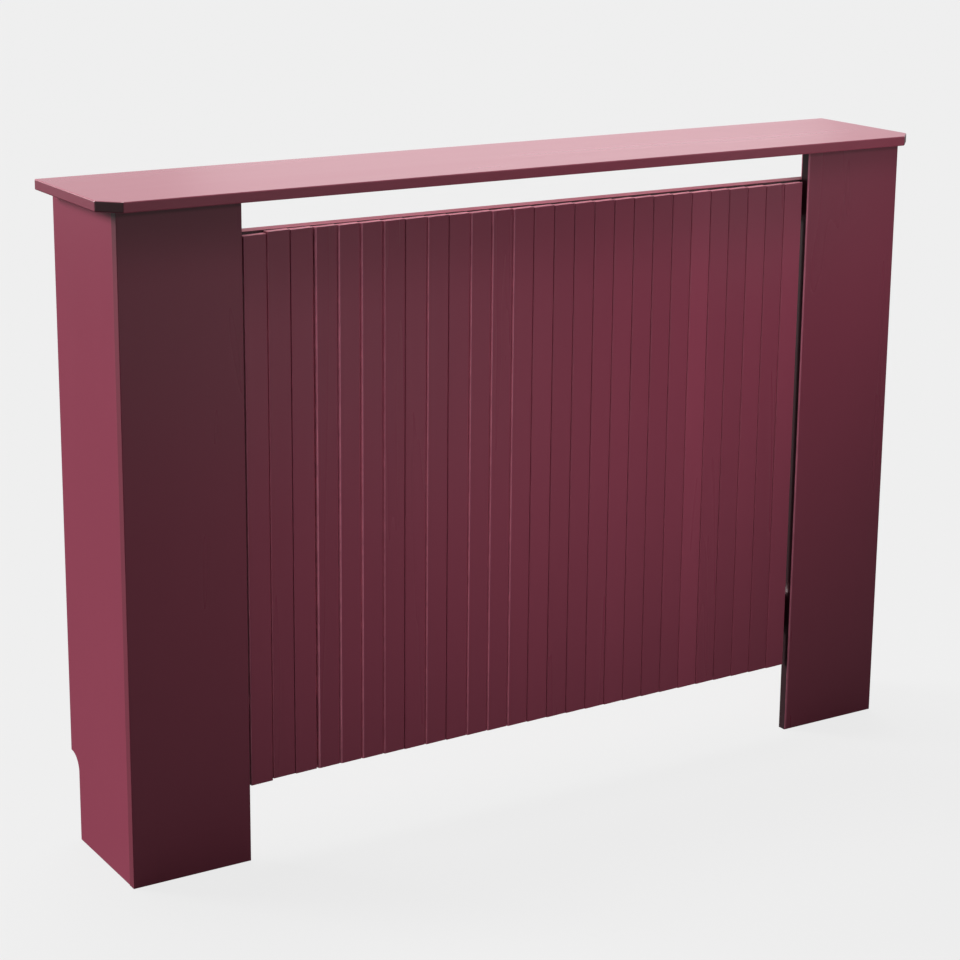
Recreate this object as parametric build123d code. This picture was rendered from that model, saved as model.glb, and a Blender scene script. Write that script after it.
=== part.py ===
from build123d import *
import os

# Radiator cover cabinet, in millimetres.
# The origin is on the floor, in the middle of the footprint. +X runs to the right
# as seen from the room, -Y faces the room, +Y faces the wall and +Z is up.

# ---------------------------------------------------------------- overall sizes
cover_height = 780.0            # floor to the top of the shelf
cover_depth = 190.0             # wall to the front edge of the shelf

# shelf
shelf_thickness = 12.0
shelf_side_overhang = 20.0      # past the outer face of each side panel
shelf_front_overhang = 15.0     # past the face of the front boards
shelf_corner_cut = 23.0         # both legs of each clipped front corner
shelf_corner_ease = 4.0         # rounding of the clipped corners' upright edges
shelf_edge_ease = 1.4           # rounding along the shelf's top and bottom edges

# pillars: a front board glued over the front edge of a side panel
front_board_width = 146.0
front_board_thickness = 12.0
side_panel_thickness = 12.0
board_edge_ease = 1.0
skirting_cut_height = 105.0     # cut-out at the rear foot, which clears a skirting board
skirting_cut_depth = 22.0
skirting_cut_radius = 20.0      # rounding at the top of that cut-out

# slats
slat_count = 27
slat_width = 27.95
slat_thickness = 9.0
slat_length = 637.5
slat_slant = 0.6                # each end is cut out of square, higher at its right
slat_edge_ease = 1.4
slat_rubbed_ease = 2.2          # left arris of a slat that is a little rubbed
slat_worn_ease = 3.0            # left arris of a slat that is worn round
rubbed_slats = (9, 11, 12, 13)
worn_slats = (4, 5, 6, 7)
slat_left_gap = 3.0             # first slat to the left front board
slat_right_gap = 5.45           # last slat to the right front board
slat_tight_gap = 0.6            # joint between most neighbours
slat_open_gap = 1.0             # joint that shows the next slat's edge
slat_loose_gap = 2.1            # the widest joint
slat_fall = 0.08                # each slat ends this much lower than the one on its left
first_slat_drop = 2.5           # the first slat hangs lower than its neighbour
open_joints = (4, 5, 6, 8, 10, 11, 12)      # counted from the left, joint n follows slat n
loose_joint = 3

# rails that carry the slats, behind the front boards
rail_height = 45.0
rail_depth = 18.0
rail_overlap = 55.0             # length of rail behind each front board
air_slot_height = 36.0          # open slot between the shelf and the top rail
rail_rise = 0.5                 # top rail above the highest slat end
bottom_rail_lift = 47.5         # lowest neat slat end up to the bottom rail

# corner battens, glued and screwed inside each pillar
batten_size = 20.0
batten_floor_gap = 40.0
batten_shelf_gap = 30.0
batten_end_inset = 35.0         # batten end to its nearest screw
batten_screw_stagger = 25.0     # side screws stand this far above the front screws
batten_screw_rows = 3

# steel angle brackets under the shelf and at the wall
shelf_bracket_leg = 22.0
shelf_bracket_width = 16.0
shelf_bracket_thickness = 2.0
shelf_bracket_hole = 14.0       # corner to hole
wall_bracket_panel_leg = 42.0
wall_bracket_wall_leg = 30.0
wall_bracket_width = 20.0
wall_bracket_thickness = 2.5
wall_bracket_drop = 78.0        # shelf's underside to the middle of the bracket
wall_hole_offset = 20.0         # corner to the wall screw's hole
wall_hole_radius = 2.5
panel_hole_count = 2
panel_hole_near = 15.0          # corner to the first panel screw
panel_hole_pitch = 16.0
bracket_inner_bend = 1.0
bracket_corner_radius = 3.0

# fasteners
screw_radius = 1.75
screw_head_radius = 3.5
screw_tip_length = 3.0
screw_tip_radius = 0.4
flat_head_height = 1.9
pan_head_height = 2.2
pan_head_ease = 0.8
recess_length = 4.0             # cross recess in a screw head
recess_width = 0.9
recess_depth = 1.2
rail_screw_bite = 8.0           # depth of screw in the front board
batten_screw_bite = 8.0
bracket_screw_bite = 7.5
rail_screw_pitch = 26.0         # between the two screws at each rail end
pin_radius = 0.7
pin_head_radius = 1.3
pin_head_height = 0.8
pin_bite = 6.0                  # depth of pin in the slat
dowel_radius = 3.0
dowel_board_bite = 16.0
dowel_shelf_bite = 8.0
dowel_end_ease = 0.6
dowel_inset = 30.0              # dowel to the end of the board that it stands in

# clearances
pilot_clearance = 0.05          # around screws, pins and dowels in their holes
bracket_hole_clearance = 0.3    # around a screw in a steel bracket
pick_margin = 1.0               # keeps edges that lie on a joint out of the rounded ones

# ------------------------------------------------------------- derived positions
joint_gaps = [
    slat_loose_gap if joint == loose_joint
    else slat_open_gap if joint in open_joints
    else slat_tight_gap
    for joint in range(1, slat_count)
]
slat_panel_width = slat_count * slat_width + sum(joint_gaps)
opening_half = (slat_panel_width + slat_left_gap + slat_right_gap) / 2
pillar_outer = opening_half + front_board_width
panel_inner = pillar_outer - side_panel_thickness
shelf_half = pillar_outer + shelf_side_overhang

wall_y = cover_depth / 2
shelf_front_y = -cover_depth / 2
board_front_y = shelf_front_y + shelf_front_overhang
board_back_y = board_front_y + front_board_thickness
board_middle_y = board_front_y + front_board_thickness / 2
slat_front_y = board_back_y - slat_thickness
rail_back_y = board_back_y + rail_depth

shelf_underside = cover_height - shelf_thickness
top_rail_top = shelf_underside - air_slot_height
highest_slat_top = top_rail_top - rail_rise
neat_slat_foot = highest_slat_top - slat_length
bottom_rail_bottom = neat_slat_foot + bottom_rail_lift
rail_bottoms = {
    "top_rail": top_rail_top - rail_height,
    "bottom_rail": bottom_rail_bottom,
}
rail_middles = {name: bottom + rail_height / 2 for name, bottom in rail_bottoms.items()}

wall_bracket_level = shelf_underside - wall_bracket_drop

batten_bottom = batten_floor_gap
batten_top = shelf_underside - batten_shelf_gap

sides = {"left": -1, "right": 1}


# ---------------------------------------------------------------- shape helpers
def block(x_span, y_span, z_span):
    # box between pairs of limits, given in any order
    sizes = [abs(high - low) for low, high in (x_span, y_span, z_span)]
    middle = [(low + high) / 2 for low, high in (x_span, y_span, z_span)]
    return Pos(*middle) * Box(*sizes)


def aimed(shape, point, outward):
    # shape is made pointing down from z = 0; its top is put at point, facing outward
    return Plane(origin=point, z_dir=outward).location * shape


def cross_recess():
    long_cut = Box(recess_length, recess_width, 2 * recess_depth)
    return long_cut + Rot(0, 0, 90) * long_cut


def pointed_shank(radius, length, tip_length):
    straight = length - tip_length
    shank = Pos(0, 0, -straight / 2) * Cylinder(radius, straight)
    tip = Pos(0, 0, -straight - tip_length / 2) * Cone(screw_tip_radius, radius, tip_length)
    return shank + tip


def flat_screw_form(length, grow=0.0):
    # countersunk head, flush at z = 0
    shank = pointed_shank(screw_radius + grow, length + grow, screw_tip_length)
    head = Pos(0, 0, -flat_head_height / 2) * Cone(
        screw_radius + grow, screw_head_radius + grow, flat_head_height
    )
    return shank + head


def flat_screw(length):
    return flat_screw_form(length) - cross_recess()


def pan_screw(length):
    # head stands on z = 0
    head = Pos(0, 0, pan_head_height / 2) * Cylinder(screw_head_radius, pan_head_height)
    head = fillet(head.edges().filter_by(GeomType.CIRCLE).sort_by(Axis.Z)[-1], pan_head_ease)
    body = head + pointed_shank(screw_radius, length, screw_tip_length)
    return body - Pos(0, 0, pan_head_height) * cross_recess()


def pan_screw_pilot(length):
    return pointed_shank(screw_radius + pilot_clearance, length + pilot_clearance, screw_tip_length)


def pin_form(length, grow=0.0):
    shank = Pos(0, 0, -length / 2) * Cylinder(pin_radius + grow, length)
    head = Pos(0, 0, -pin_head_height / 2) * Cylinder(pin_head_radius + grow, pin_head_height)
    return shank + head


def dowel_form(grow=0.0):
    # centred on the joint face at z = 0
    length = dowel_shelf_bite + dowel_board_bite
    middle = (dowel_shelf_bite - dowel_board_bite) / 2
    body = Cylinder(dowel_radius + grow, length + 2 * grow)
    if grow == 0.0:
        body = chamfer(body.edges().filter_by(GeomType.CIRCLE), dowel_end_ease)
    return Pos(0, 0, middle) * body


def angle_bracket(down_leg, flat_leg, width, thickness, down_holes, flat_holes):
    # outer corner at the origin; one leg hangs along -Z, the other runs along +X
    outline = Polyline(
        (0, 0),
        (flat_leg, 0),
        (flat_leg, -thickness),
        (thickness, -thickness),
        (thickness, -down_leg),
        (0, -down_leg),
        close=True,
    )
    profile = Plane.XZ * make_face(outline)
    body = extrude(profile, amount=width / 2, both=True)
    outer_bend = body.edges().filter_by(Axis.Y).sort_by_distance((0, 0, 0))[0]
    body = fillet(outer_bend, bracket_inner_bend + thickness)
    inner_bend = body.edges().filter_by(Axis.Y).sort_by_distance((thickness, 0, -thickness))[0]
    body = fillet(inner_bend, bracket_inner_bend)
    flat_corners = body.edges().filter_by(Axis.Z).group_by(Axis.X)[-1]
    down_corners = body.edges().filter_by(Axis.X).group_by(Axis.Z)[0]
    body = fillet(flat_corners + down_corners, bracket_corner_radius)
    for offset, radius in down_holes:
        body -= Pos(thickness / 2, 0, -offset) * Rot(0, 90, 0) * Cylinder(radius, 2 * thickness)
    for offset, radius in flat_holes:
        body -= Pos(offset, 0, -thickness / 2) * Cylinder(radius, 2 * thickness)
    return body


# -------------------------------------------------------------- fastener places
# Each place is (point on the surface under the head, outward direction).
def rail_screw_places(side):
    x = side * (opening_half + rail_overlap / 2)
    return [
        ((x, rail_back_y, middle + shift), (0, 1, 0))
        for middle in rail_middles.values()
        for shift in (-rail_screw_pitch / 2, rail_screw_pitch / 2)
    ]


def batten_levels():
    low = batten_bottom + batten_end_inset
    high = batten_top - batten_end_inset - batten_screw_stagger
    step = (high - low) / (batten_screw_rows - 1)
    return [low + row * step for row in range(batten_screw_rows)]


def batten_front_places(side):
    x = side * (panel_inner - batten_size / 2)
    return [((x, board_back_y + batten_size, z), (0, 1, 0)) for z in batten_levels()]


def batten_side_places(side):
    x = side * (panel_inner - batten_size)
    y = board_back_y + batten_size / 2
    return [((x, y, z + batten_screw_stagger), (-side, 0, 0)) for z in batten_levels()]


def board_dowel_places(side):
    near = opening_half + dowel_inset
    far = pillar_outer - dowel_inset
    return [(side * x, board_middle_y, shelf_underside) for x in (near, far)]


def panel_dowel_places(side):
    x = side * (panel_inner + side_panel_thickness / 2)
    return [(x, y, shelf_underside) for y in (board_back_y + dowel_inset, wall_y - dowel_inset)]


# Shelf brackets: corner point, turn about Z and outward direction of the upright leg.
def shelf_bracket_stations():
    stations = {}
    for name, side in sides.items():
        panel_y = (board_back_y + wall_y) / 2
        board_x = side * (opening_half + front_board_width / 2)
        turn = 0 if side < 0 else 180
        stations[f"{name}_panel_bracket"] = ((side * panel_inner, panel_y), turn, (-side, 0, 0))
        stations[f"{name}_board_bracket"] = ((board_x, board_back_y), 90, (0, 1, 0))
    return stations


def shelf_bracket_screws(station):
    (x, y), _, outward = station
    level = shelf_underside - shelf_bracket_hole
    upright = (
        x + outward[0] * shelf_bracket_thickness,
        y + outward[1] * shelf_bracket_thickness,
        level,
    )
    under = (
        x + outward[0] * shelf_bracket_hole,
        y + outward[1] * shelf_bracket_hole,
        shelf_underside - shelf_bracket_thickness,
    )
    return [(upright, outward), (under, (0, 0, -1))]


def wall_bracket_screws(side):
    x = side * (panel_inner - wall_bracket_thickness)
    near = wall_y - panel_hole_near
    return [
        ((x, near - row * panel_hole_pitch, wall_bracket_level), (-side, 0, 0))
        for row in range(panel_hole_count)
    ]


rail_screw_length = rail_depth + rail_screw_bite
batten_screw_length = batten_size + batten_screw_bite
shelf_screw_length = shelf_bracket_thickness + bracket_screw_bite
wall_screw_length = wall_bracket_thickness + bracket_screw_bite
pin_length = rail_depth + pin_bite

flat_screw_places = {
    "rail_screws": (
        rail_screw_length,
        [place for side in sides.values() for place in rail_screw_places(side)],
    ),
    "batten_screws": (
        batten_screw_length,
        [
            place
            for side in sides.values()
            for place in batten_front_places(side) + batten_side_places(side)
        ],
    ),
}
pan_screw_places = {
    "shelf_bracket_screws": (
        shelf_screw_length,
        [
            place
            for station in shelf_bracket_stations().values()
            for place in shelf_bracket_screws(station)
        ],
    ),
    "wall_bracket_screws": (
        wall_screw_length,
        [place for side in sides.values() for place in wall_bracket_screws(side)],
    ),
}
dowel_places = [
    place
    for side in sides.values()
    for place in board_dowel_places(side) + panel_dowel_places(side)
]


def slat_lefts():
    # left edge of each slat
    left = slat_left_gap - opening_half
    lefts = [left]
    for gap in joint_gaps:
        left += slat_width + gap
        lefts.append(left)
    return lefts


def slat_tops():
    tops = [highest_slat_top - first_slat_drop]
    tops += [highest_slat_top - slat_fall * step for step in range(slat_count - 1)]
    return tops


pin_places = {
    rail: [((left + slat_width / 2, rail_back_y, middle), (0, 1, 0)) for left in slat_lefts()]
    for rail, middle in rail_middles.items()
}


# ------------------------------------------------------------- cutting for them
def flat_screw_holes(kind, near):
    # holes for the screws whose x lies on one side of the cover
    length, places = flat_screw_places[kind]
    form = flat_screw_form(length, pilot_clearance)
    return [aimed(form, point, outward) for point, outward in places if point[0] * near > 0]


def pan_screw_holes(kind, near):
    length, places = pan_screw_places[kind]
    form = pan_screw_pilot(length)
    return [aimed(form, point, outward) for point, outward in places if point[0] * near > 0]


def dowel_holes(near):
    form = dowel_form(pilot_clearance)
    return [Pos(*point) * form for point in dowel_places if point[0] * near > 0]


def pillar_holes(side):
    return (
        flat_screw_holes("rail_screws", side)
        + flat_screw_holes("batten_screws", side)
        + pan_screw_holes("shelf_bracket_screws", side)
        + pan_screw_holes("wall_bracket_screws", side)
        + dowel_holes(side)
    )


def drilled(body, holes):
    # only the holes that reach the body are cut
    box = body.bounding_box()
    for hole in holes:
        reach = hole.bounding_box()
        apart = (
            reach.max.X <= box.min.X or reach.min.X >= box.max.X
            or reach.max.Y <= box.min.Y or reach.min.Y >= box.max.Y
            or reach.max.Z <= box.min.Z or reach.min.Z >= box.max.Z
        )
        if not apart:
            body = body - hole
    return body


# ------------------------------------------------------------------ the pieces
def top_shelf():
    cut = shelf_corner_cut
    outline = Polyline(
        (-shelf_half, wall_y),
        (-shelf_half, shelf_front_y + cut),
        (-shelf_half + cut, shelf_front_y),
        (shelf_half - cut, shelf_front_y),
        (shelf_half, shelf_front_y + cut),
        (shelf_half, wall_y),
        close=True,
    )
    body = extrude(Pos(0, 0, shelf_underside) * make_face(outline), amount=shelf_thickness)
    upright = body.edges().filter_by(Axis.Z)
    clipped = upright.filter_by(lambda edge: edge.center().Y < shelf_front_y + cut + pick_margin)
    body = fillet(clipped, shelf_corner_ease)
    rims = body.faces().sort_by(Axis.Z)[-1].edges() + body.faces().sort_by(Axis.Z)[0].edges()
    seen = rims.filter_by(lambda edge: edge.center().Y < wall_y - shelf_edge_ease)
    body = fillet(seen, shelf_edge_ease)
    for side in sides.values():
        body = drilled(body, pillar_holes(side))
    return body


def side_panel(side):
    outer = side * pillar_outer
    body = block((side * panel_inner, outer), (board_back_y, wall_y), (0, shelf_underside))
    cut_out = block(
        (side * (panel_inner - side_panel_thickness), side * (pillar_outer + side_panel_thickness)),
        (wall_y - skirting_cut_depth, wall_y + skirting_cut_depth),
        (-skirting_cut_height, skirting_cut_height),
    )
    inner_corner = cut_out.edges().filter_by(Axis.X).sort_by_distance(
        (outer, wall_y - skirting_cut_depth, skirting_cut_height)
    )[0]
    body -= fillet(inner_corner, skirting_cut_radius)
    outer_face = body.faces().sort_by(Axis.X)[0 if side < 0 else -1]
    seen = outer_face.edges().filter_by(
        lambda edge: edge.center().Y > board_back_y + pick_margin
        and edge.center().Z < shelf_underside - pick_margin
    )
    body = fillet(seen, board_edge_ease)
    return drilled(body, pillar_holes(side))


def front_board(side):
    body = block(
        (side * opening_half, side * pillar_outer),
        (board_front_y, board_back_y),
        (0, shelf_underside),
    )
    front_face = body.faces().sort_by(Axis.Y)[0]
    seen = front_face.edges().filter_by(lambda edge: edge.center().Z < shelf_underside - pick_margin)
    body = fillet(seen, board_edge_ease)
    return drilled(body, pillar_holes(side))


def slat(left, top, left_ease):
    right = left + slat_width
    foot = top - slat_length
    outline = Polygon(
        (left, foot - slat_slant),
        (right, foot),
        (right, top),
        (left, top - slat_slant),
        align=None,
    )
    back = Plane(origin=(0, board_back_y, 0), x_dir=(1, 0, 0), z_dir=(0, -1, 0))
    body = extrude(back * outline, slat_thickness)
    front_face = body.faces().sort_by(Axis.Y)[0]
    arrises = front_face.edges().filter_by(Axis.Z).sort_by(Axis.X)
    body = fillet(arrises[0], left_ease)
    front_face = body.faces().sort_by(Axis.Y)[0]
    arrises = front_face.edges().filter_by(Axis.Z).sort_by(Axis.X)
    body = fillet(arrises[-1], slat_edge_ease)
    form = pin_form(pin_length, pilot_clearance)
    holes = [
        aimed(form, point, outward)
        for places in pin_places.values()
        for point, outward in places
        if left < point[0] < left + slat_width
    ]
    return drilled(body, holes)


def rail(name):
    reach = opening_half + rail_overlap
    body = block(
        (-reach, reach),
        (board_back_y, rail_back_y),
        (rail_bottoms[name], rail_bottoms[name] + rail_height),
    )
    form = pin_form(pin_length, pilot_clearance)
    holes = [aimed(form, point, outward) for point, outward in pin_places[name]]
    for side in sides.values():
        holes += flat_screw_holes("rail_screws", side)
    return drilled(body, holes)


def corner_batten(side):
    body = block(
        (side * (panel_inner - batten_size), side * panel_inner),
        (board_back_y, board_back_y + batten_size),
        (batten_bottom, batten_top),
    )
    return drilled(body, flat_screw_holes("batten_screws", side))


def shelf_bracket(station):
    (x, y), turn, _ = station
    hole = (shelf_bracket_hole, screw_radius + bracket_hole_clearance)
    body = angle_bracket(
        shelf_bracket_leg,
        shelf_bracket_leg,
        shelf_bracket_width,
        shelf_bracket_thickness,
        [hole],
        [hole],
    )
    return Pos(x, y, shelf_underside) * Rot(0, 0, turn) * body


def wall_bracket(side):
    panel_radius = screw_radius + bracket_hole_clearance
    body = angle_bracket(
        wall_bracket_panel_leg,
        wall_bracket_wall_leg,
        wall_bracket_width,
        wall_bracket_thickness,
        [(panel_hole_near + row * panel_hole_pitch, panel_radius) for row in range(panel_hole_count)],
        [(wall_hole_offset, wall_hole_radius)],
    )
    # the hanging leg is laid along the side panel, the other against the wall
    body = Rot(-90, 0, 0) * body
    if side > 0:
        body = Rot(0, 180, 0) * body
    return Pos(side * panel_inner, wall_y, wall_bracket_level) * body


def group(solids):
    return Compound(children=[piece.solid() for piece in solids])


# ------------------------------------------------------------------- all nodes
parts = {"top_shelf": top_shelf()}
for side_name, side_sign in sides.items():
    parts[f"{side_name}_side_panel"] = side_panel(side_sign)
    parts[f"{side_name}_front_board"] = front_board(side_sign)
    parts[f"{side_name}_corner_batten"] = corner_batten(side_sign)
    parts[f"{side_name}_wall_bracket"] = wall_bracket(side_sign)
for rail_name in rail_bottoms:
    parts[rail_name] = rail(rail_name)
for number, (slat_left, slat_top) in enumerate(zip(slat_lefts(), slat_tops()), start=1):
    ease = (
        slat_worn_ease if number in worn_slats
        else slat_rubbed_ease if number in rubbed_slats
        else slat_edge_ease
    )
    parts[f"slat_{number:02d}"] = slat(slat_left, slat_top, ease)
for bracket_name, bracket_station in shelf_bracket_stations().items():
    parts[bracket_name] = shelf_bracket(bracket_station)
for screw_name, (screw_length, screw_places) in flat_screw_places.items():
    parts[screw_name] = group(
        aimed(flat_screw(screw_length), point, outward) for point, outward in screw_places
    )
for screw_name, (screw_length, screw_places) in pan_screw_places.items():
    # the stated length is measured under the head, through the bracket
    parts[screw_name] = group(
        aimed(pan_screw(screw_length), point, outward) for point, outward in screw_places
    )
for rail_name, places in pin_places.items():
    parts[f"{rail_name}_pins"] = group(
        aimed(pin_form(pin_length), point, outward) for point, outward in places
    )
parts["shelf_dowels"] = group(Pos(*point) * dowel_form() for point in dowel_places)

os.makedirs("parts", exist_ok=True)
for node_name, shape in parts.items():
    export_step(shape, f"parts/{node_name}.step")
    size = shape.bounding_box().size
    print(f"{node_name}: {size.X:.1f} x {size.Y:.1f} x {size.Z:.1f} mm")
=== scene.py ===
import bpy
import bmesh
import math
import random
from mathutils import Matrix, Vector


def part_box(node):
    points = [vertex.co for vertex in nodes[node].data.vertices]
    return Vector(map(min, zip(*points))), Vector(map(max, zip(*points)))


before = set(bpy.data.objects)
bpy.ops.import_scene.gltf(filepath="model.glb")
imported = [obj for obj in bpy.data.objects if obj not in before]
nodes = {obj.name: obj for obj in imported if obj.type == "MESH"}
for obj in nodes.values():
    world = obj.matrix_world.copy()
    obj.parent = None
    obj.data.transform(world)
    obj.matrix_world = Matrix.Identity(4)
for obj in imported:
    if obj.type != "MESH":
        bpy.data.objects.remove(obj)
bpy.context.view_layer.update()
print("frame loaded:", len(nodes), "pieces")


def linear(red, green, blue):
    # a colour as a paint chart gives it, 0 to 255, turned into what the shader wants
    parts = [value / 255 for value in (red, green, blue)]
    curved = [p / 12.92 if p <= 0.04045 else ((p + 0.055) / 1.055) ** 2.4 for p in parts]
    return (*curved, 1.0)


# ---- shader expressions

class Wire:
    def __init__(self, tree, socket):
        self.tree = tree
        self.socket = socket

    def __add__(self, other):
        return self.tree.math("ADD", self, other)

    def __radd__(self, other):
        return self.tree.math("ADD", other, self)

    def __sub__(self, other):
        return self.tree.math("SUBTRACT", self, other)

    def __rsub__(self, other):
        return self.tree.math("SUBTRACT", other, self)

    def __mul__(self, other):
        return self.tree.math("MULTIPLY", self, other)


class Shader:
    def __init__(self, owner):
        owner.use_nodes = True
        self.tree = owner.node_tree
        self.tree.nodes.clear()

    def node(self, kind, settings=None, values=None, output=0):
        made = self.tree.nodes.new(kind)
        for name, setting in (settings or {}).items():
            setattr(made, name, setting)
        for name, value in (values or {}).items():
            if isinstance(value, Wire):
                self.tree.links.new(value.socket, made.inputs[name])
            else:
                made.inputs[name].default_value = value
        return Wire(self, made.outputs[output])

    def math(self, operation, first, second=0.0):
        return self.node("ShaderNodeMath", {"operation": operation}, {0: first, 1: second})

    def least(self, first, *others):
        for other in others:
            first = self.math("MINIMUM", first, other)
        return first

    def most(self, first, *others):
        for other in others:
            first = self.math("MAXIMUM", first, other)
        return first

    def size(self, value):
        return self.math("ABSOLUTE", value)

    def ease(self, value, start, end):
        # 0 at start, 1 at end, smooth between; start may be the larger
        settings = {"interpolation_type": "SMOOTHSTEP"}
        limits = {"Value": value, "From Min": start, "From Max": end}
        return self.node("ShaderNodeMapRange", settings, limits)

    def split(self, vector):
        made = self.node("ShaderNodeSeparateXYZ", None, {0: vector}).socket.node
        return [Wire(self, made.outputs[axis]) for axis in range(3)]

    def stretched(self, place, scale):
        return self.node("ShaderNodeMapping", None, {"Vector": place, "Scale": scale})

    def noise(self, place, scale, detail, rough, warp=0.0):
        values = {"Vector": place, "Scale": scale, "Detail": detail}
        values.update({"Roughness": rough, "Distortion": warp})
        return self.node("ShaderNodeTexNoise", None, values)

    def blend(self, first, second, share):
        # two colours, share of the second; for colours the node uses its inputs 6 and 7
        settings = {"data_type": "RGBA"}
        return self.node("ShaderNodeMix", settings, {0: share, 6: first, 7: second}, output=2)

    def scaled(self, colour, amount):
        values = {0: colour, "Scale": amount}
        return self.node("ShaderNodeVectorMath", {"operation": "SCALE"}, values)

    def bump(self, height):
        # at distance 1 the height is in metres
        return self.node("ShaderNodeBump", None, {"Height": height, "Distance": 1.0})

    def surface(self, shader):
        output = self.tree.nodes.new("ShaderNodeOutputMaterial")
        self.tree.links.new(shader.socket, output.inputs["Surface"])


def objectPlace(shader):
    return shader.node("ShaderNodeTexCoord", output="Object")


def patchy(pattern, throughout, extra):
    # a share that is there throughout, and extra on top where the pattern is full
    return throughout + pattern * extra


def principled(shader, values):
    shader.surface(shader.node("ShaderNodeBsdfPrincipled", None, values))


def dress(node, material):
    mesh = nodes[node].data
    mesh.materials.clear()
    mesh.materials.append(material)


# ---- satin paint on fibreboard

paint = {
    "colour": linear(139, 60, 80),
    "thin": linear(170, 92, 110),           # where a sharp edge has drawn the paint thin
    "core": linear(146, 70, 88),            # cut board edges, which soak the paint up
    "jointShade": linear(80, 30, 41),             # painted shade on the edges that face each other in the widest joint
    "lip": linear(154, 62, 84),             # front edge of the shelf
    "lipEnd": linear(124, 51, 69),          # its two end faces, a darker tone
    "shaded": linear(108, 43, 58),          # painted shade on the front boards' edges
    "clipped": linear(70, 28, 38),          # painted shade on the shelf's two clipped corners
    "recessShade": linear(40, 18, 23),           # painted shade on the front boards' inner edges and the rails' front faces, beside and behind the slats
    "slatTopLight": linear(226, 152, 168),       # painted light on the slats' top ends
    # painted light on the rails' top faces
    "railTopLight": linear(190, 84, 108),
    "glint": linear(232, 136, 160),         # painted highlight on the left arris of some slats and of the right front board
    "mottle": 0.06,                         # slow change of tone over a board
    "streak": 0.03,                         # change along the way it was sprayed and rolled
    "edgeWidth": (0.0012, 0.0003),          # where the thin paint of an edge begins and is full
    "edgeShare": 0.35,
    "soaked": (0.55, 0.6),                  # tone of a cut edge: throughout, and more on fibres
    "worn": (0.45, 0.55),                   # thin paint of an edge: throughout, and more in breaks
    "rubbed": (0.75, 0.25),                 # painted highlight on an arris, likewise
    "angleShade": 0.3,                      # painted shade in the angle under the shelf
    "roughness": 0.28,
    "roughnessSpread": 0.05,
    "coreRoughness": 0.08,
    "peelHeight": 0.000010,                 # orange peel, in metres
    "nibHeight": 0.00006,                   # dust caught in the paint
    "fibreHeight": 0.00003,                 # fibres raised on a cut edge
    "gloss": 0.5,
}

grain = {
    # scales are bumps to a metre
    "seedStep": (0.731, 1.337, 0.419),      # moves the pattern on from board to board
    "stretch": 0.06,                        # along the board against across it
    "clouds": {"scale": 5.5, "detail": 3.0, "rough": 0.55, "warp": 0.4},
    "streaks": {"scale": 150.0, "detail": 4.0, "rough": 0.6},
    "fibres": {"scale": 900.0, "detail": 3.0, "rough": 0.7},
    "breaks": {"scale": 42.0, "detail": 3.0, "rough": 0.65},
    "smears": {"scale": 14.0, "detail": 3.0, "rough": 0.6, "warp": 0.6},
    "peel": {"scale": 620.0, "detail": 2.0, "rough": 0.5},
    "nibs": 95.0,
}

turns = {
    # parts of a face's normal between which a tone sets in and is full
    "cut": (0.75, 0.45),
    "upward": (0.3, 0.8),
    "shelfEnd": (0.8, 0.95),
    "clipped": (0.25, 0.45),
    "shadedSide": (0.6, 0.95),
    "leftArris": (-0.1, -0.45),
    "front": (-0.1, -0.4),
}

reaches = {
    # other limits: metres, or for the breaks and nibs a share
    "breaks": (0.36, 0.66),
    "boardGlint": (0.0032, 0.0016),
    "shelfAngle": (0.008, 0.004),
    "nibs": (0.10, 0.02),
}

shelfShade = {
    # light that the shelf takes away at the top of a board, and how far down it reaches in metres
    "left_front_board": (0.44, 0.090),
    "right_front_board": (0.24, 0.050),
    "slat": (0.22, 0.110),
}


def boardEdge(shader, spot, low, high):
    # distance from the nearest arris of a board, on any of its faces
    rooms = []
    for value, least, most in zip(spot, low, high):
        rooms.append((most - least) / 2 - shader.size(value - (most + least) / 2))
    first, second, third = rooms
    inner = shader.least(shader.most(first, second), third)
    return shader.most(shader.least(first, second), inner)


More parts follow.
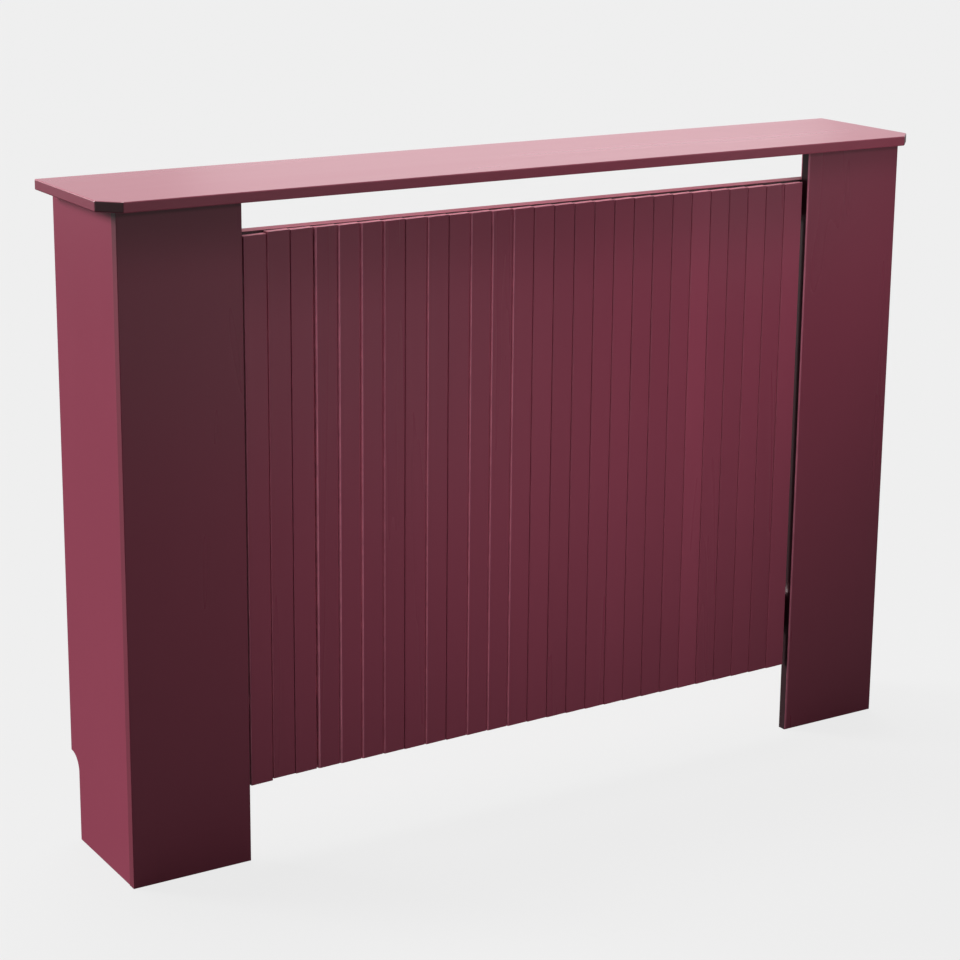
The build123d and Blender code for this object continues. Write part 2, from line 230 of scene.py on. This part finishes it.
def paintedMaterial(name, low, high, board, seed, lift, rubbed):
    # the fourth entry of board is the axis and sense of a side with painted shade, dark where the
    # slats leave it in shade
    run, thin, edgeTone, shadedSide = board
    isSlat = name.startswith("slat")
    material = bpy.data.materials.new("painted_" + name)
    shader = Shader(material)
    place = objectPlace(shader)
    normal = shader.split(shader.node("ShaderNodeNewGeometry", output="Normal"))
    spot = shader.split(place)

    shift = [seed * step for step in grain["seedStep"]]
    own = shader.node("ShaderNodeVectorMath", {"operation": "ADD"}, {0: place, 1: shift})
    along = [1.0, 1.0, 1.0]
    along[run] = grain["stretch"]
    drawn = shader.stretched(own, along)

    clouds = shader.noise(own, **grain["clouds"])
    streaks = shader.noise(drawn, **grain["streaks"])
    tone = 1 + lift + (clouds - 0.5) * paint["mottle"] + (streaks - 0.5) * paint["streak"]

    cut = shader.ease(shader.size(normal[thin]), *turns["cut"])
    fibres = shader.noise(own, **grain["fibres"])
    upward = shader.ease(normal[2], *turns["upward"])
    broken = shader.ease(shader.noise(own, **grain["breaks"]), *reaches["breaks"])

    body = shader.blend(paint["colour"], paint[edgeTone], cut * patchy(fibres, *paint["soaked"]))
    # painted light: faces that look up are lighter on the slats and the rails
    if isSlat:
        body = shader.blend(body, paint["slatTopLight"], upward)
    elif name.endswith("rail"):
        body = shader.blend(body, paint["railTopLight"], upward)
    elif name == "top_shelf":
        end = shader.ease(shader.size(normal[0]), *turns["shelfEnd"])
        body = shader.blend(body, paint["lipEnd"], end)
        # painted shade on the shelf's clipped corners
        clipped = shader.ease(shader.size(normal[0] * normal[1]), *turns["clipped"])
        body = shader.blend(body, paint["clipped"], clipped)
    # painted shade on the side that the slats leave in shade
    if shadedSide:
        axis, sense = shadedSide
        shadedFace = shader.ease(normal[axis] * sense, *turns["shadedSide"])
        body = shader.blend(body, paint["recessShade"], shadedFace)
    if edgeTone in ("core", "jointShade"):
        edge = shader.ease(boardEdge(shader, spot, low, high), *paint["edgeWidth"])
        worn = edge * patchy(broken, *paint["worn"])
        body = shader.blend(body, paint["thin"], worn * paint["edgeShare"])
    # painted highlight on left arrises
    if rubbed:
        turned = shader.ease(normal[0], *turns["leftArris"])
        if shadedSide:
            # a wide board takes the painted highlight on its front only, a little way in from the
            # arris
            nearArris = shader.ease(spot[0] - low[0], *reaches["boardGlint"])
            turned = nearArris * shader.ease(normal[1], *turns["front"])
        bright = turned * patchy(broken, *paint["rubbed"]) * rubbed
        body = shader.blend(body, paint["glint"], bright)

    shaded = shelfShade.get("slat" if isSlat else name)
    if shaded:
        share, reach = shaded
        depth = high[2] - spot[2]
        shade = shader.ease(depth, reach, 0.0) * share * (1 - upward)
        # painted shade: a dark line right under the shelf on the front boards
        if edgeTone == "shaded":
            shade = shade + shader.ease(depth, *reaches["shelfAngle"]) * paint["angleShade"]
        tone = tone * (1 - shade)

    smears = shader.noise(drawn, **grain["smears"])
    rough = paint["roughness"] + (smears - 0.5) * paint["roughnessSpread"]
    peel = shader.noise(own, **grain["peel"])
    nibs = shader.node("ShaderNodeTexVoronoi", None, {"Vector": own, "Scale": grain["nibs"]})
    nib = shader.ease(nibs, *reaches["nibs"])
    height = peel * paint["peelHeight"] + nib * paint["nibHeight"] * clouds
    principled(shader, {
        "Base Color": shader.scaled(body, tone),
        "Roughness": rough + cut * paint["coreRoughness"],
        "Normal": shader.bump(height + fibres * cut * paint["fibreHeight"]),
        "Specular IOR Level": paint["gloss"],
    })
    return material


paintedBoards = {
    # node: (axis it was painted along, axis through its thickness, tone of its edges, side with
    # painted shade)
    "top_shelf": (0, 2, "lip", None),
    "left_side_panel": (2, 0, "core", None),
    "right_side_panel": (2, 0, "core", None),
    "left_front_board": (2, 1, "shaded", (0, 1)),
    "right_front_board": (2, 1, "shaded", (0, -1)),
    "top_rail": (0, 1, "core", (1, -1)),
    "bottom_rail": (0, 1, "core", (1, -1)),
}
# these two slats carry painted shade on their side faces, in the widest joint
widestJoint = ("slat_03", "slat_04")
slatNames = sorted(name for name in nodes if name.startswith("slat_"))
for name in slatNames:
    paintedBoards[name] = (2, 1, "jointShade" if name in widestJoint else "core", None)
rubbedArris = {
    # strength of the painted highlight on the left arris, 0 to 1
    "slat_01": 0.5, "slat_02": 0.35, "slat_03": 0.15,
    "slat_04": 1.0, "slat_05": 1.0, "slat_06": 0.9, "slat_07": 0.55,
    "slat_09": 0.75, "slat_11": 0.75, "slat_12": 0.75, "slat_13": 0.65,
    "right_front_board": 0.55,
}

slatTone = 0.30                             # the slats' paint is this much lighter than the boards'
slatLift = 0.05                             # and each differs by up to this much
paleSlats = {"slat_22": 0.28, "slat_25": 0.08, "slat_27": 0.10}
draw = random.Random(7)
for seed, (name, board) in enumerate(paintedBoards.items(), start=1):
    low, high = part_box(name)
    lift = slatTone + draw.uniform(-slatLift, slatLift) if name in slatNames else 0.0
    lift += paleSlats.get(name, 0.0)
    rubbed = rubbedArris.get(name, 0.0)
    dress(name, paintedMaterial(name, low, high, board, seed, lift, rubbed))
print("painted boards:", len(paintedBoards))


# ---- bare pine of the corner battens

pine = {
    "early": linear(224, 190, 142),
    "late": linear(186, 136, 84),
    "lateShare": 0.75,
    "lateLimits": (0.1, 0.95),              # where late wood begins on the rings' wave, is full
    "lateSmoothness": 0.12,
    "lateHeight": 0.00002,
    "ringScale": 34.0,                      # rings to a metre
    "ringStretch": (1, 1, 0.035),
    "ringSlant": 0.4,                       # what a step in depth adds, against one across
    "ringWander": 0.09,
    "wander": {"scale": 18.0, "detail": 3.0, "rough": 0.55, "warp": 0.5},
    "fibreStretch": (1, 1, 0.02),
    "fibre": {"scale": 900.0, "detail": 3.0, "rough": 0.6},
    "fibreTone": (0.92, 0.16),              # throughout, and more on the fibres
    "fibreHeight": 0.00003,
    "roughness": 0.62,
    "gloss": 0.35,
}


def pineMaterial():
    material = bpy.data.materials.new("planed_pine")
    shader = Shader(material)
    place = objectPlace(shader)
    grainSpace = shader.stretched(place, pine["ringStretch"])
    wander = shader.noise(grainSpace, **pine["wander"])
    x, y = shader.split(grainSpace)[:2]
    distance = x + y * pine["ringSlant"] + wander * pine["ringWander"]
    rings = shader.math("SINE", distance * (pine["ringScale"] * 2 * math.pi))
    late = shader.ease(rings, *pine["lateLimits"])
    fibre = shader.noise(shader.stretched(place, pine["fibreStretch"]), **pine["fibre"])
    colour = shader.blend(pine["early"], pine["late"], late * pine["lateShare"])
    principled(shader, {
        "Base Color": shader.scaled(colour, patchy(fibre, *pine["fibreTone"])),
        "Roughness": pine["roughness"] - late * pine["lateSmoothness"],
        "Normal": shader.bump(fibre * pine["fibreHeight"] + late * pine["lateHeight"]),
        "Specular IOR Level": pine["gloss"],
    })
    return material


pineFinish = pineMaterial()
for name in ("left_corner_batten", "right_corner_batten"):
    dress(name, pineFinish)


# ---- metals and dowels

metals = {
    # scratch is in scratches to a metre
    "zinc_plated_steel": {
        "ending": "_bracket",
        "colour": linear(196, 198, 200),
        "dull": linear(158, 160, 164),
        "roughness": 0.36,
        "scratch": 1400.0,
    },
    "zinc_plated_screws": {
        "ending": "_screws",
        "colour": linear(206, 202, 188),
        "dull": linear(170, 160, 134),
        "roughness": 0.30,
        "scratch": 2600.0,
    },
    "bright_steel_pins": {
        "ending": "_pins",
        "colour": linear(190, 190, 192),
        "dull": linear(150, 150, 154),
        "roughness": 0.28,
        "scratch": 3200.0,
    },
}
metalGrain = {
    "bloom": {"scale": 260.0, "detail": 3.0, "rough": 0.6},
    "bloomLimits": (0.35, 0.7),
    "bloomShare": 0.7,
    "bloomRoughness": 0.16,
    "scratch": {"detail": 2.0, "rough": 0.6},
    "scratchStretch": (1, 1, 0.08),
    "scratchRoughness": 0.12,
    "scratchHeight": 0.000012,
}


def metalMaterial(name, finish):
    material = bpy.data.materials.new(name)
    shader = Shader(material)
    place = objectPlace(shader)
    bloom = shader.ease(shader.noise(place, **metalGrain["bloom"]), *metalGrain["bloomLimits"])
    brushed = shader.stretched(place, metalGrain["scratchStretch"])
    scratch = shader.noise(brushed, finish["scratch"], **metalGrain["scratch"])
    rough = finish["roughness"] + bloom * metalGrain["bloomRoughness"]
    share = bloom * metalGrain["bloomShare"]
    principled(shader, {
        "Base Color": shader.blend(finish["colour"], finish["dull"], share),
        "Metallic": 1.0,
        "Roughness": rough + (scratch - 0.5) * metalGrain["scratchRoughness"],
        "Normal": shader.bump(scratch * metalGrain["scratchHeight"]),
    })
    return material


for finishName, finish in metals.items():
    material = metalMaterial(finishName, finish)
    for name in nodes:
        if name.endswith(finish["ending"]):
            dress(name, material)

beech = {
    "colour": linear(214, 176, 132),
    "fleck": linear(176, 130, 88),
    "fleckStretch": (1, 1, 0.15),
    "flecks": {"scale": 1600.0, "detail": 2.0, "rough": 0.6},
    "fleckLimits": (0.5, 0.7),
    "fleckHeight": 0.00002,
    "roughness": 0.55,
}


def beechMaterial():
    material = bpy.data.materials.new("beech")
    shader = Shader(material)
    grainSpace = shader.stretched(objectPlace(shader), beech["fleckStretch"])
    flecks = shader.noise(grainSpace, **beech["flecks"])
    share = shader.ease(flecks, *beech["fleckLimits"])
    principled(shader, {
        "Base Color": shader.blend(beech["colour"], beech["fleck"], share),
        "Roughness": beech["roughness"],
        "Normal": shader.bump(flecks * beech["fleckHeight"]),
    })
    return material


dress("shelf_dowels", beechMaterial())
print("timber, metals and dowels finished")


# ---- floor and background

stagePlan = {
    "pale": linear(240, 240, 240),
    "floorHalf": 30.0,
    "floorGlow": 0.922,                     # share of the pale tone that no shadow takes away
    "floorLit": 0.035,                      # share that the lamps give back
    "bounce": 0.10,                         # floor as seen by the underside of the object
    "ambient": 0.04,
    "cardRear": linear(64, 64, 64),
    "cardFront": linear(104, 104, 104),
    "cardFar": linear(48, 48, 48),
    "cardRearFade": (-0.3, 0.1),            # metres, towards the wall
    "cardFarFade": (-0.9, -2.2),            # metres, into the room
    "cardHalf": 6.0,
    "cardHeight": 0.0005,
}


def paleForViewer(shader):
    # 1 for what is seen straight, mirrored or through glass, 0 for light that a surface gathers
    ways = []
    for output in ("Is Camera Ray", "Is Glossy Ray", "Is Transmission Ray"):
        ways.append(shader.node("ShaderNodeLightPath", output=output))
    return shader.most(*ways)


def diffuse(shader, level):
    return shader.node("ShaderNodeBsdfDiffuse", None, {"Color": [level] * 3 + [1.0]})


def floorMaterial():
    material = bpy.data.materials.new("pale_floor")
    shader = Shader(material)
    values = {"Color": stagePlan["pale"], "Strength": stagePlan["floorGlow"]}
    glow = shader.node("ShaderNodeEmission", None, values)
    lit = diffuse(shader, stagePlan["floorLit"])
    seen = shader.node("ShaderNodeAddShader", None, {0: glow, 1: lit})
    gathered = diffuse(shader, stagePlan["bounce"])
    values = {0: paleForViewer(shader), 1: gathered, 2: seen}
    shader.surface(shader.node("ShaderNodeMixShader", None, values))
    return material


def buildSheet(name, half, height, material):
    mesh = bpy.data.meshes.new(name)
    work = bmesh.new()
    place = Matrix.Translation((0, 0, height))
    bmesh.ops.create_grid(work, x_segments=2, y_segments=2, size=half, matrix=place)
    work.to_mesh(mesh)
    work.free()
    sheet = bpy.data.objects.new(name, mesh)
    bpy.context.scene.collection.objects.link(sheet)
    mesh.materials.append(material)
    return sheet


def buildCard():
    # a grey card that only reflections see keeps the floor's glare off the upright faces
    material = bpy.data.materials.new("grey_card")
    shader = Shader(material)
    depth = shader.split(objectPlace(shader))[1]
    rear = shader.ease(depth, *stagePlan["cardRearFade"])
    far = shader.ease(depth, *stagePlan["cardFarFade"])
    tone = shader.blend(stagePlan["cardFront"], stagePlan["cardRear"], rear)
    tone = shader.blend(tone, stagePlan["cardFar"], far)
    shader.surface(shader.node("ShaderNodeEmission", None, {"Color": tone, "Strength": 1.0}))
    card = buildSheet("card", stagePlan["cardHalf"], stagePlan["cardHeight"], material)
    card.visible_camera = False
    card.visible_diffuse = False
    card.visible_shadow = False
    card.visible_transmission = False


def buildWorld():
    world = bpy.data.worlds.new("studio")
    bpy.context.scene.world = world
    shader = Shader(world)
    shades = []
    for strength in (stagePlan["ambient"], 1.0):
        values = {"Color": stagePlan["pale"], "Strength": strength}
        shades.append(shader.node("ShaderNodeBackground", None, values))
    gathered, seen = shades
    values = {0: paleForViewer(shader), 1: gathered, 2: seen}
    mixed = shader.node("ShaderNodeMixShader", None, values)
    output = shader.tree.nodes.new("ShaderNodeOutputWorld")
    shader.tree.links.new(mixed.socket, output.inputs["Surface"])


buildSheet("floor", stagePlan["floorHalf"], 0.0, floorMaterial())
buildCard()
buildWorld()
print("floor and background ready")


# ---- lamps

lampPlan = {
    # suns: level 1 shows a surface that faces them as it is written; spread in degrees
    # areas: place, aim and size in metres, level in watts
    # a dull lamp shows in no reflection, as behind a polariser
    "rearLeftKey": {
        "kind": "SUN", "towards": (-0.64, 0.68, 0.36), "level": 1.55, "spread": 20.0,
    },
    "ceiling": {
        "kind": "SUN", "towards": (0.05, 0.25, 0.97), "level": 1.10, "spread": 24.0,
    },
    "frontHighLamp": {
        "kind": "AREA", "place": (0.30, -0.32, 1.25), "aim": (0.25, -0.08, 0.60),
        "level": 0.21, "size": 0.4, "dull": True,
    },
    "frontLeftFill": {
        "kind": "AREA", "place": (-0.15, -0.75, 0.50), "aim": (-0.15, -0.08, 0.45),
        "level": 0.51, "size": 0.4, "dull": True,
    },
    "frontFarFill": {
        "kind": "AREA", "place": (-0.05, -1.10, 0.42), "aim": (-0.05, -0.08, 0.42),
        "level": 0.72, "size": 0.6, "dull": True,
    },
    "frontMiddleFill": {
        "kind": "AREA", "place": (0.15, -0.60, 0.45), "aim": (0.15, -0.08, 0.45),
        "level": 0.485, "size": 0.4, "dull": True,
    },
    "frontRightFill": {
        "kind": "AREA", "place": (0.55, -0.42, 0.69), "aim": (0.46, -0.08, 0.66),
        "level": 0.35, "size": 0.25, "dull": True,
    },
    # stands for the light that a pale wall throws through the open slot
    "slotStrip": {
        "kind": "AREA", "place": (0.0, -0.062, 0.7665), "aim": (0.0, -0.062, 0.70),
        "level": 0.13, "size": 0.77, "depth": 0.02, "dull": True,
    },
    "rightSideFill": {
        "kind": "SUN", "towards": (0.93, 0.35, 0.10), "level": 0.30, "spread": 10.0,
        "dull": True,
    },
    "rearRightPanel": {
        "kind": "AREA", "place": (1.60, 2.50, 1.25), "aim": (0.00, 0.00, 0.78),
        "level": 2.15, "size": 1.6,
    },
}
sunDistance = 3                             # where a sun's marker stands; its light doesn't mind


def addLamp(name, plan):
    data = bpy.data.lights.new(name, plan["kind"])
    lamp = bpy.data.objects.new(name, data)
    bpy.context.scene.collection.objects.link(lamp)
    if plan["kind"] == "SUN":
        back = Vector(plan["towards"])
        data.energy = plan["level"] * math.pi
        data.angle = math.radians(plan["spread"])
        lamp.location = back * sunDistance
    else:
        back = Vector(plan["place"]) - Vector(plan["aim"])
        data.energy = plan["level"]
        data.shape = "RECTANGLE" if "depth" in plan else "DISK"
        data.size = plan["size"]
        data.size_y = plan.get("depth", plan["size"])
        lamp.location = plan["place"]
    lamp.rotation_mode = "QUATERNION"
    lamp.rotation_quaternion = back.to_track_quat("Z", "Y")
    lamp.visible_camera = False
    lamp.visible_glossy = not plan.get("dull", False)


for name, plan in lampPlan.items():
    addLamp(name, plan)


# ---- camera

cameraPlan = {
    # metres, degrees, millimetres, and shares of the picture's width
    "place": (-1.5004, -2.3515, 1.1841),
    "azimuth": 31.88,
    "dip": 13.77,
    "roll": 0.544,
    "lens": 88.68,
    "sensor": 36.0,
    "shift": (0.0, -0.10),
}


def buildCamera():
    data = bpy.data.cameras.new("camera")
    camera = bpy.data.objects.new("camera", data)
    bpy.context.scene.collection.objects.link(camera)
    data.sensor_width = cameraPlan["sensor"]
    data.lens = cameraPlan["lens"]
    data.shift_x, data.shift_y = cameraPlan["shift"]
    turn = Matrix.Rotation(math.radians(-cameraPlan["azimuth"]), 4, "Z")
    tilt = Matrix.Rotation(math.radians(90 - cameraPlan["dip"]), 4, "X")
    lean = Matrix.Rotation(math.radians(cameraPlan["roll"]), 4, "Z")
    camera.matrix_world = Matrix.Translation(cameraPlan["place"]) @ turn @ tilt @ lean
    bpy.context.scene.camera = camera


buildCamera()
bpy.context.scene.view_settings.view_transform = "Standard"
print("lamps and camera placed")
